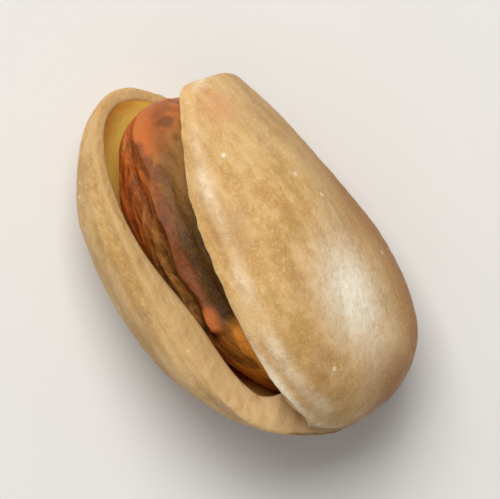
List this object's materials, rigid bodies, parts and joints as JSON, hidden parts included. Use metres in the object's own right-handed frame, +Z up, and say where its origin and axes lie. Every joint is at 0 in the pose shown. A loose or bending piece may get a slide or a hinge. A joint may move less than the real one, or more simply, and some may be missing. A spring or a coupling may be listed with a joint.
{
  "type": "pistachio in shell",
  "caption": "Roasted pistachio lying on its side: a tan shell whose two valves gape along the suture and stay joined at the base, round a loose reddish kernel.",
  "frame": {"origin": "on the resting plane, below the middle of the nut's box", "axes": "+Y along the nut from its joined base to its gaping tips, +Z up, with the gape facing up and to -X"},
  "size_m": [0.0126, 0.0194, 0.0127],
  "materials": {
    "shell": "dry, matt, salt-dusted tan nutshell",
    "kernel": "wrinkled reddish-brown seed coat with a faint sheen"
  },
  "bodies": {
    "root": {"shell": "shell", "kernel": "kernel"}
  },
  "joints": []
}
